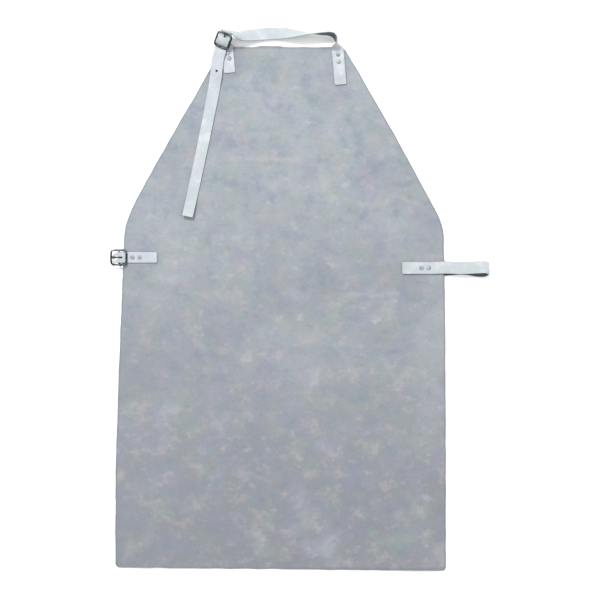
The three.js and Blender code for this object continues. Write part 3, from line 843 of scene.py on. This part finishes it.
def cut(piece, tools):
    for tool in tools:
        step = piece.modifiers.new("cut", "BOOLEAN")
        step.object = tool
        step.solver = "EXACT"
    graph = bpy.context.evaluated_depsgraph_get()
    mesh = bpy.data.meshes.new_from_object(piece.evaluated_get(graph))
    piece.modifiers.clear()
    piece.data = mesh
    for tool in tools:
        bpy.data.objects.remove(tool)
    crisp(piece)


print("punches are", PUNCH_SIDES, "sided; rivet holes", 2 * RIVET_HOLE, "mm wide")

# %% [markdown]
# ## Nickel-plated steel
# Buckles and rivets are cheap steel with a thin nickel plate, smudged by fingers and scratched.
# The buckles are shinier than the rivets, and their colour is painted darker: painted dark
# reflection, since the pale room around them has nothing dark to reflect. Roughness follows a
# smudge noise, since a smudged spot is duller. The colour follows the same noise, as patches of
# painted dark reflection, with small spots of painted highlight on top; one flat grey would look
# like new plastic.

# %% Nickel for buckles and rivets
def nickel_finish(name, base, dark_reflection, dull):
    nickel = Finish(name, {"Metallic": 1.0})
    place = nickel.node("ShaderNodeTexCoord", output=3)
    smudge_and_reflection = nickel.noise(place, 130.0, 3.0, 0.55)
    scratches = nickel.noise(nickel.stretched(place, (1.0, 5.0, 2.0)), 900.0, 3.0, 0.6)
    painted_highlight = nickel.noise(place, 480.0, 3.0, 0.6)
    # Patches of painted dark reflection over the base colour, then small spots of painted highlight.
    colour = nickel.mix(grey(*base), grey(*dark_reflection), smudge_and_reflection.between(0.38, 0.60))
    colour = nickel.mix(colour, grey(198, 203, 208), painted_highlight.between(0.62, 0.78) * 0.4)
    rough = dull + 0.22 * smudge_and_reflection + 0.08 * scratches
    relief = scratches * 0.4 + painted_highlight * 0.6
    return nickel.paint(Base_Color=colour, Roughness=rough, Normal=nickel.bump(relief, 0.0001, 0.35))


# The buckles' dark base colour and darker patches are painted dark reflection.
buckle_nickel = nickel_finish("buckle_nickel", (122, 127, 134), (56, 60, 67), 0.24)
rivet_nickel = nickel_finish("rivet_nickel", (208, 212, 216), (168, 174, 180), 0.55)
print("nickel ready")

# %% [markdown]
# ## Rivets
# A double-cap rivet has two parts: a stud whose head lies behind the leather, and a cap pressed
# on its post in front. Both are turned shapes, so each is a profile spun round its own axis. The
# cap is a shallow dome with a rolled rim; the head is a flat disc with a rounded edge.

# %% Spun pieces
SPIN_STEPS = 40
HEAD_THICKNESS = 0.8
POST_IN_CAP = 0.3


def spun(name, place, profile, materials):
    """A piece turned round a standing axis. The profile is radius and height, in millimetres."""
    points, faces = [], []
    for radius, height in profile:
        for i in range(SPIN_STEPS):
            angle = 2 * math.pi * i / SPIN_STEPS
            offset = Vector((radius * math.cos(angle), radius * math.sin(angle), height))
            points.append(Vector(place) + offset)
    for row in range(len(profile) - 1):
        for i in range(SPIN_STEPS):
            a, b = row * SPIN_STEPS + i, row * SPIN_STEPS + (i + 1) % SPIN_STEPS
            faces.append((a, b, b + SPIN_STEPS, a + SPIN_STEPS))
    faces.append(tuple(reversed(range(SPIN_STEPS))))
    faces.append(tuple(range(len(points) - SPIN_STEPS, len(points))))
    piece = new_piece(name, points, faces, materials)
    outward(piece)
    crisp(piece, 32)
    return piece


def cap_profile(radius, height):
    rim = [(radius * 0.3, 0.0), (radius - 0.25, 0.0), (radius - 0.05, 0.12), (radius, 0.32)]
    rim += [(radius - 0.06, 0.55), (radius - 0.35, 0.72), (radius - 0.62, 0.72)]
    dome = [((radius - 0.8) * math.cos(a), 0.74 + (height - 0.74) * math.sin(a))
            for a in (i * math.pi / 2 / 7 for i in range(7))]
    return rim + dome + [(0.12, height)]


def head_profile(radius, thickness, top):
    edge = [(0.12, 0.0), (radius - 0.5, 0.0), (radius - 0.12, 0.14), (radius, 0.4)]
    post = [(1.55, thickness), (1.5, thickness + 0.1), (1.5, top)]
    return edge + [(radius - 0.1, thickness)] + post


def rivet_pair(row, number):
    cap_low, cap_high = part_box(f"{row}_rivet_cap_{number}")
    stud_low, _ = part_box(f"{row}_rivet_stud_{number}")
    radius = (cap_high.x - cap_low.x) / 2 / MM
    middle = (cap_low + cap_high) / 2 / MM
    foot = (middle.x, middle.y, cap_low.z / MM)
    cap_shape = cap_profile(radius, (cap_high.z - cap_low.z) / MM)
    cap = spun(f"{row}_cap_{number}", foot, cap_shape, [rivet_nickel])
    foot = (middle.x, middle.y, stud_low.z / MM)
    top = (cap_low.z - stud_low.z) / MM + POST_IN_CAP
    head_shape = head_profile(radius, HEAD_THICKNESS, top)
    stud = spun(f"{row}_stud_{number}", foot, head_shape, [rivet_nickel])
    for piece, node in ((cap, f"{row}_rivet_cap_{number}"), (stud, f"{row}_rivet_stud_{number}")):
        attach(piece, "apron")
        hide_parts(node)


for row in ("waist_tab", "waist_strap", "neck_tab", "neck_strap"):
    for number in (1, 2):
        rivet_pair(row, number)
print("8 rivets set")

# %% [markdown]
# ## Buckles
# Each buckle is a ring of bent wire with a straight bar across its middle, and a prong whose
# eye turns on that bar. The bar drops below the ring, so that leather can pass between them.
# All three are round wire along a curve. A bevelled curve object would give the same wire, but
# a plain mesh can also be joined, flattened and used as a punch, and all three happen below.

# %% Wire along a curve
WIRE = 3.2
GAP = 0.3
TAB_THICKNESS = 1.7
STRAP_THICKNESS = 2.0
bar_radius = WIRE / 2
frame_rise = SHEET_MM / 2 + GAP + TAB_THICKNESS + GAP + bar_radius
rail_reach = 13.9
rail_half = 13.4
RING_SQUARENESS = 0.37
prong_radius = 1.1
eye_radius = bar_radius + GAP + prong_radius
WIRE_STEPS = 6


def wire(name, knots, radii, materials, closed=False, sides=20):
    """Round wire through the knots. radii gives its radius from start to end."""
    if closed:
        looped = [*knots[-2:], *knots, *knots[:2]]
        pieces = spline([Vector(k) for k in looped], len(looped) - 1)[2:-1]
    else:
        pieces = spline([Vector(k) for k in knots], len(knots) - 1)
    path = []
    for c0, c1, c2, c3 in pieces:
        path += [(c0 + t * (c1 + t * (c2 + t * c3)), c1 + 2 * t * c2 + 3 * t * t * c3)
                 for t in (i / WIRE_STEPS for i in range(WIRE_STEPS))]
    if not closed:
        path.append((c0 + c1 + c2 + c3, c1 + 2 * c2 + 3 * c3))
    normal = path[0][1].orthogonal().normalized()
    rings = []
    for k, (at, along) in enumerate(path):
        along = along.normalized()
        normal = (normal - along * normal.dot(along)).normalized()
        other = along.cross(normal)
        share = k / (len(path) - 1) * (len(radii) - 1)
        low = min(int(share), len(radii) - 2)
        radius = radii[low] + (radii[low + 1] - radii[low]) * (share - low)
        rings.append([at + radius * (normal * math.cos(a) + other * math.sin(a))
                      for a in (2 * math.pi * i / sides for i in range(sides))])
    return ring_mesh(name, rings, closed, materials)


def ring_mesh(name, rings, closed, materials):
    sides = len(rings[0])
    points = [point for ring in rings for point in ring]
    faces = []
    for row in range(len(rings) if closed else len(rings) - 1):
        ahead = (row + 1) % len(rings)
        shift = best_shift(rings[-1], rings[0]) if closed and ahead == 0 else 0
        for i in range(sides):
            j = (i + 1) % sides
            faces.append((row * sides + i, row * sides + j,
                          ahead * sides + (j + shift) % sides, ahead * sides + (i + shift) % sides))
    if not closed:
        faces += [tuple(reversed(range(sides))), tuple(range(len(points) - sides, len(points)))]
    piece = new_piece(name, points, faces, materials)
    outward(piece)
    crisp(piece, 50)
    return piece


def best_shift(last, first):
    sides = len(first)
    return min(range(sides), key=lambda shift: (last[0] - first[shift]).length)


print("the bar lies", round(frame_rise, 2), "mm below the ring")

# %% [markdown]
# The shapes of ring, bar and prong are worked out once, in the buckle's own directions: X along
# the bar, Y towards the side the prong rests on, Z out of its face. The ring is a squared
# circle, as wire bent round four pegs is. The prong's shaft may be hammered wider across,
# beyond the leather that wraps its eye.

# %% Shapes of ring, bar and prong in the buckle's own directions
RING_KNOTS = 40
EYE_KNOTS = 12
RING_EXTRA = 0.15
BAR_LESS = 0.2
SHAFT_RADII = [1.1, 1.3, 1.35, 1.3, 1.05, 0.6]
FLATTENED_FROM = 4.6


def ring_knots():
    knots = []
    for i in range(RING_KNOTS):
        angle = 2 * math.pi * i / RING_KNOTS
        v = math.copysign(abs(math.cos(angle)) ** RING_SQUARENESS, math.cos(angle)) * rail_half
        u = math.copysign(abs(math.sin(angle)) ** RING_SQUARENESS, math.sin(angle)) * rail_reach
        knots.append((v, u, frame_rise))
    return knots


BAR_SIDE = [
    (rail_half, frame_rise), (rail_half - 0.3, bar_radius), (rail_half - 2.2, 0.0),
    (rail_half / 3, 0.0),
]
bar_knots = [(-v, 0.0, out) for v, out in BAR_SIDE]
bar_knots += [(v, 0.0, out) for v, out in reversed(BAR_SIDE)]
tip_rise = frame_rise + bar_radius + GAP + prong_radius
prong_knots = [
    (0, eye_radius * 0.5, eye_radius * 0.85), (0, eye_radius + 2, eye_radius * 0.9),
    (0, rail_reach * 0.62, tip_rise * 0.72), (0, rail_reach, tip_rise),
    (0, rail_reach + 2, tip_rise + 0.1),
]
eye_knots = [(0, eye_radius * math.cos(a), eye_radius * math.sin(a))
             for a in (2 * math.pi * i / EYE_KNOTS for i in range(EYE_KNOTS))]


def joined(name, parts):
    """One mesh from several."""
    mesh = bmesh.new()
    for part in parts:
        mesh.from_mesh(part.data)
    data = parts[0].data.copy()
    mesh.to_mesh(data)
    mesh.free()
    for part in parts:
        bpy.data.objects.remove(part)
    piece = bpy.data.objects.new(name, data)
    bpy.context.scene.collection.objects.link(piece)
    return piece


def hammered(piece, matrix, widening):
    """The part of a prong beyond the fold, made wider across and no thicker."""
    back = matrix.inverted()
    for point in piece.data.vertices:
        local = back @ (point.co / MM)
        local.x *= 1 + widening * ease((local.y - FLATTENED_FROM) / 3)
        point.co = (matrix @ local) * MM
    piece.data.update()


def buckle(side, matrix, frame_body, prong_body, widening):
    def placed(knots):
        return [matrix @ Vector(k) for k in knots]
    metal = [buckle_nickel]
    ring = wire("ring", placed(ring_knots()), [bar_radius + RING_EXTRA] * 2, metal, closed=True)
    bar = wire("bar", placed(bar_knots), [bar_radius - BAR_LESS] * 2, metal)
    eye = wire("eye", placed(eye_knots), [prong_radius] * 2, metal, closed=True, sides=14)
    shaft = wire("shaft", placed(prong_knots), SHAFT_RADII, metal, sides=14)
    hammered(shaft, matrix, widening)
    rim = joined(f"{side}_buckle_ring", [ring, bar])
    prong = joined(f"{side}_buckle_tongue", [eye, shaft])
    for piece, body, node in ((rim, frame_body, "frame"), (prong, prong_body, "prong")):
        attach(piece, body)
        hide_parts(f"{side}_buckle_{node}")
    print(side, "buckle", len(rim.data.polygons) + len(prong.data.polygons), "faces")


print(len(ring_knots()), "knots round the ring,", len(prong_knots), "along the prong")

# %% [markdown]
# Both buckles have the same ring; the waist buckle's prong is the wider one. The waist buckle
# lies flat at the left edge. The neck buckle stands tipped up on the fold of its tab, because
# the strap that is threaded through it needs the room. The strap also holds its ring and prong
# fast, so they ride on the apron.

# %% Where the buckles are
def buckle_matrix(turn, pitch, at):
    tip = Matrix.Rotation(math.radians(turn), 4, "Z") @ Matrix.Rotation(math.radians(pitch), 4, "X")
    return Matrix.Translation(at) @ tip


BAR_MIDDLE = SEAT_MM + SHEET_MM / 2
WAIST_TAB_Y = 92.0
NECK_BUCKLE_X = -102.5
waist_buckle_at = buckle_matrix(90, 0, (-293.8, WAIST_TAB_Y, BAR_MIDDLE))
neck_buckle_at = buckle_matrix(-23.5, 32, (NECK_BUCKLE_X, 486.8, 16.4))
buckle("waist", waist_buckle_at, "waist_buckle", "waist_prong", 0.7)
buckle("neck", neck_buckle_at, "apron", "apron", 0.0)

# %% [markdown]
# ## Tabs
# A tab is a short strip that goes through the buckle round its bar and back, and holds the sheet
# between its two ends. A slot at the fold lets the prong through. The fold is the tightest bend
# on the apron, so its stops come from the bar's own radius.

# %% Waist tab
fold_radius = bar_radius + GAP + TAB_THICKNESS / 2
layer_spread = SHEET_MM / 2 + GAP + TAB_THICKNESS / 2
TAB_WIDTH = 21.0
WAIST_TAB_END = -224.8
WAIST_TAB_FOLD = -287.6


def fold_stops(matrix):
    across = matrix.to_3x3() @ Vector((1, 0, 0))
    stops = []
    for degrees in range(-135, 136, 30):
        angle = math.radians(degrees)
        local = Vector((0, fold_radius * math.cos(angle), fold_radius * math.sin(angle)))
        stops.append(stop(matrix @ local, across))
    return stops


def prong_slot(matrix):
    back, ahead, half = -6.5, 4.45, 1.6
    return block(matrix, (-half, back, -2 * fold_radius), (half, ahead, 2 * fold_radius))


def rivet_holes(row):
    holes = []
    for number in (1, 2):
        spot = middle_of(f"{row}_rivet_cap_{number}")
        holes.append(punch((spot.x, spot.y, 4.0), RIVET_HOLE, reach=9.0))
    return holes


def waist_flat(x, side):
    return stop((x, WAIST_TAB_Y, BAR_MIDDLE + side * layer_spread), (0, 1, 0))


waist_tab_stops = [
    waist_flat(WAIST_TAB_END, -1), waist_flat(WAIST_TAB_FOLD, -1), *fold_stops(waist_buckle_at),
    waist_flat(WAIST_TAB_FOLD, 1), waist_flat(WAIST_TAB_END, 1),
]
waist_tab = strip("waist_tab_leather", waist_tab_stops, TAB_WIDTH, TAB_THICKNESS, 1.6, 1.0, taper=1.5)
cut(waist_tab, [prong_slot(waist_buckle_at), *rivet_holes("waist_tab")])
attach(waist_tab, "apron")
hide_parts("waist_tab")

# %% [markdown]
# The neck tab is made like the waist tab, but its two layers rise past the bib's edge to meet
# the tipped bar, and it leans a little, as it was riveted on by eye. Its stops are written by
# their distance past the bib's edge.

# %% Neck tab
NECK_TAB_X = -96.5
NECK_TAB_LEAN = 0.087
neck_across = Vector((1, NECK_TAB_LEAN, 0))
neck_bar = neck_buckle_at.to_3x3() @ Vector((1, 0, 0))


def neck_flat(out, side, drop):
    place = (NECK_TAB_X - NECK_TAB_LEAN * out, BIB_Y + out, BAR_MIDDLE + side * layer_spread - drop)
    return stop(place, neck_across)


def neck_rise(out, height, shift):
    return stop((NECK_TAB_X - shift, BIB_Y + out, height), neck_bar + neck_across)


neck_tab_stops = [
    neck_flat(-47, -1, 0), neck_flat(-10, -1, 0), neck_flat(1.2, -1, 0.1), neck_rise(5.6, 4.9, 2.4),
    *fold_stops(neck_buckle_at),
    neck_rise(4.6, 10.6, 2.2), neck_flat(-0.6, 1, -0.7), neck_flat(-8, 1, 0), neck_flat(-47, 1, 0),
]
neck_tab = strip("neck_tab_leather", neck_tab_stops, TAB_WIDTH, TAB_THICKNESS, 1.6, 2.0)
cut(neck_tab, [prong_slot(neck_buckle_at), *rivet_holes("neck_tab")])
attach(neck_tab, "apron")
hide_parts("neck_tab")

# %% [markdown]
# ## Waist strap
# The waist strap is riveted to the right side. It runs out past the edge, folds over and goes
# back behind the apron, where the holes for the buckle are. It could be two pieces with a joint
# at the fold, but leather has no seam there, so it is one strip.

# %% Waist strap with its fold and holes
STRAP_WIDTH = 22.0
WAIST_STRAP_Y = 73.0
strap_rest = GAP + STRAP_THICKNESS / 2
front_z = SEAT_MM + SHEET_MM + strap_rest
FOLD_X = 373.71
FOLD_TOP = front_z + 4.4
fold_half = (FOLD_TOP - STRAP_THICKNESS / 2) / 2
STRAP_TIP = (-236.9, 59.0)
HOLES = 7
HOLE_SPACING = 25
HOLE_RADIUS = 2.5


def waist_strap_route():
    across = (0, 1, 0)
    stops = [
        stop((221.5, WAIST_STRAP_Y, front_z), across), stop((275, WAIST_STRAP_Y, front_z), across),
        stop((300, WAIST_STRAP_Y + 0.6, front_z + 0.8), (0, 1, 0.05)),
        stop((328, WAIST_STRAP_Y - 0.6, front_z + 2.2), (0, 1, -0.04)),
        stop((352, WAIST_STRAP_Y + 0.4, front_z + 3.6), (0, 1, -0.10)),
    ]
    for degrees in range(90, -91, -30):
        angle = math.radians(degrees)
        y = WAIST_STRAP_Y + 1 - 6 * (90 - degrees) / 180
        x = FOLD_X + fold_half * math.cos(angle)
        stops.append(stop((x, y, STRAP_THICKNESS / 2 + fold_half * (1 + math.sin(angle))), across))
    low = STRAP_THICKNESS / 2
    for back, y in ((12, 67.4), (40, 71.4), (68, 70.0), (90, 68.4), (160, 65.6)):
        stops.append(stop((FOLD_X - back, y, low), across))
    stops.append(stop((*STRAP_TIP, low), across))
    return stops


def buckle_holes():
    start, end = Vector((373.1, 68.0, 1.0)), Vector((*STRAP_TIP, 1.0))
    back = (start - end).normalized()
    return [punch(end + back * HOLE_SPACING * (2 + i), HOLE_RADIUS) for i in range(HOLES)]


def front_holes(row):
    holes = []
    for number in (1, 2):
        spot = middle_of(f"{row}_rivet_cap_{number}")
        holes.append(punch((spot.x, spot.y, front_z), RIVET_HOLE, reach=3.0))
    return holes


waist_strap_stops = waist_strap_route()
waist_strap = strip("waist_strap_leather", waist_strap_stops, STRAP_WIDTH, STRAP_THICKNESS, 4.0, 3.0)
cut(waist_strap, buckle_holes() + front_holes("waist_strap"))
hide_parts("waist_strap", "waist_strap_end")
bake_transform(waist_strap)

# %% [markdown]
# ## Neck strap
# The neck strap starts at two rivets on the right of the bib. It rises on its edge, turns
# sharply to the left, and twists down flat on its way to the buckle. A cloth simulation might
# find such a path after many tries; a list of stops, each with its heading and its roll, puts
# every twist where it belongs at once.

# %% Stops from the rivets to the buckle
NECK_END_X = 104.0
NECK_LEAN = 0.09
BESIDE = (-9.0, 0, 9.0)
ALONG = (-4, 0, 4)


def leather_top(x, y):
    """The highest point of the sheet under a strap that lies on it."""
    return max(sheet_top(x + dx, y + dy) for dx in BESIDE for dy in ALONG)


def rolled(point, heading, roll):
    """A stop whose strip heads one way in plan and is tipped by roll towards its edge."""
    way = math.radians(heading)
    along = Vector((math.cos(way), math.sin(way), 0))
    level_across = Vector((-math.sin(way), math.cos(way), 0))
    return stop(point, Matrix.Rotation(math.radians(roll), 3, along) @ level_across)


def neck_end_stops():
    heading = (-1, -NECK_LEAN, 0)
    stops = []
    for drop in (68, 60, 51, 40, 28, 16):
        x, y = NECK_END_X + NECK_LEAN * (drop - 5), BIB_Y - drop
        rest = leather_top(x, y) if drop > 45 else SEAT_MM + SHEET_MM
        stops.append(stop((x, y, rest + strap_rest), heading))
    return stops


# Each row: share of the way to the left, distance past the bib, height, heading, roll.
LOOP_ROUTE = [
    (0.001, -1, 9.4, 91, 22), (0.003, 2.4, 12.2, 92, 62), (0.006, 6.5, 13.3, 97, 88),
    (0.011, 11.5, 13.3, 108, 99), (0.020, 16.5, 13.0, 128, 103), (0.038, 20.6, 12.6, 150, 103),
    (0.07, 23, 12.4, 172, 98),
    (0.148, 23.2, 12.3, 181, 90), (0.246, 23, 12.2, 180, 76), (0.344, 23.6, 10.6, 178, 52),
    (0.478, 25, 5.2, 180, 14), (0.62, 24.2, 3.4, 184, 4), (0.76, 21.2, 6.6, 187, 12),
]
loop_span = NECK_END_X - NECK_BUCKLE_X
loop_end = rolled((NECK_BUCKLE_X + 32.8, BIB_Y + 19.4, 12.4), 176, 26)


def loop_stops():
    stops = [stop((NECK_END_X, BIB_Y - 5, front_z), (-1, 0, 0))]
    for share, out, height, heading, roll in LOOP_ROUTE:
        stops.append(rolled((NECK_END_X - share * loop_span, BIB_Y + out, height), heading, roll))
    return stops + [loop_end]


print(len(neck_end_stops()) + len(loop_stops()), "stops from the rivets to the buckle")

# %% [markdown]
# At the buckle the strap passes under the ring, over the bar and under the ring again, with the
# prong through one of its holes. The stops in the ring are written in the buckle's own
# directions, so that they would follow if the buckle were tipped further. After it the long
# tail lies down across the bib and follows the height of the sheet, and its tip stands up.

# %% Stops through the buckle and down the bib
THREADING_SLACK = 0.2
under_ring = frame_rise - bar_radius - 2 * GAP - STRAP_THICKNESS / 2 - THREADING_SLACK
over_fold = bar_radius + 2 * prong_radius + 2 * GAP + STRAP_THICKNESS / 2 + THREADING_SLACK
halfway = (under_ring + over_fold) / 2 + 0.7
over_tab = SEAT_MM + SHEET_MM + GAP + TAB_THICKNESS + strap_rest
TAIL_START = Vector((-117.0, 423.4, 6.6))
TAIL_LENGTH = 257.0
TAIL_DRIFT = 52.0
TIP_LIFT = 6.0
TAIL_SHARES = (0.08, 0.16, 0.25, 0.35, 0.45, 0.55, 0.65, 0.75, 0.84, 0.92, 1.0)


def in_ring(along, out):
    return stop(neck_buckle_at @ Vector((0, along, out)), neck_bar)


def buckled_stops():
    down = (1, -0.04, 0)
    return [
        rolled((NECK_BUCKLE_X + 25, BIB_Y + 19.6, 18.0), 174, 48),
        rolled((NECK_BUCKLE_X + 16, BIB_Y + 21.6, 23.0), 194, 58),
        in_ring(rail_reach + 2.6, under_ring - 0.5), in_ring(rail_reach, under_ring),
        in_ring(rail_reach / 2, halfway), in_ring(0, over_fold), in_ring(-rail_reach / 2, halfway),
        in_ring(-rail_reach, under_ring),
        stop((NECK_BUCKLE_X - 6.7, BIB_Y - 8, over_tab + 2.6), down),
        stop((NECK_BUCKLE_X - 10.2, BIB_Y - 20, over_tab + 0.9), down),
        stop((NECK_BUCKLE_X - 12.4, BIB_Y - 33, over_tab), down),
        stop(TAIL_START + Vector((0, 0.05, 0)), (1, -0.1, 0)),
    ]


def tail_stops():
    stops = [stop(TAIL_START, (1, -0.1, 0))]
    for share in TAIL_SHARES:
        x = TAIL_START.x - TAIL_DRIFT * share ** 1.08
        y = TAIL_START.y - TAIL_LENGTH * share
        lift = TIP_LIFT * max(0.0, share - 0.85) / 0.15
        height = leather_top(x, y) + 0.25 + STRAP_THICKNESS / 2 + lift
        stops.append(stop((x, y, height), (1, -0.19, 0)))
    return stops


print(len(buckled_stops()), "stops through the buckle,", len(tail_stops()), "down the bib")

# %% [markdown]
# Riveted end, loop and the part in the buckle are one strip. The hole for the prong is cut with
# a slightly thicker copy of the prong itself, so it fits however the strap lies.

# %% Neck strap: riveted end, loop and the part in the buckle
SPARE_HOLE_RADIUS = 2.2
neck_stops = neck_end_stops() + loop_stops() + buckled_stops()
neck_strap = strip("neck_strap_leather", neck_stops, STRAP_WIDTH, STRAP_THICKNESS, 2.5, 4.0,
                   meets="end")
longer_prong = [*prong_knots[:4], (0, rail_reach + 6, tip_rise + 0.1)]
longer_prong = [neck_buckle_at @ Vector(knot) for knot in longer_prong]
prong_hole = wire("tool", longer_prong, [prong_radius + GAP] * 2, LEATHER, sides=16)
for polygon in prong_hole.data.polygons:
    polygon.material_index = EDGE
spare_hole = punch((NECK_BUCKLE_X - 13.4, BIB_Y - 44, 7.5), SPARE_HOLE_RADIUS, reach=6.0)
cut(neck_strap, [prong_hole, spare_hole, *front_holes("neck_strap")])
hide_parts("neck_strap_end", "neck_strap_loop", "neck_strap_buckled")
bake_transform(neck_strap)

# %% [markdown]
# On the real apron the tail is the end of the same strap. Here it is a piece of its own that
# meets the strap edge to edge, because a piece can bend at one joint only, and the loop already
# has one. It gets a little narrower towards its tip, where it was trimmed.

# %% Tail of the neck strap
neck_tail = strip("neck_strap_tail_leather", tail_stops(), STRAP_WIDTH, STRAP_THICKNESS, 3.0, 5.5,
                  taper=2.0, meets="start")
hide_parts("neck_strap_tail")
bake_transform(neck_tail)

# %% [markdown]
# ## Sizes
# The box of the finished model is measured and printed.

# %% Measure and print the box of the finished model
visual_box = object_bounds()
low, high = ([round(v, 4) for v in corner] for corner in visual_box)
print("finished model from", low, "to", high)
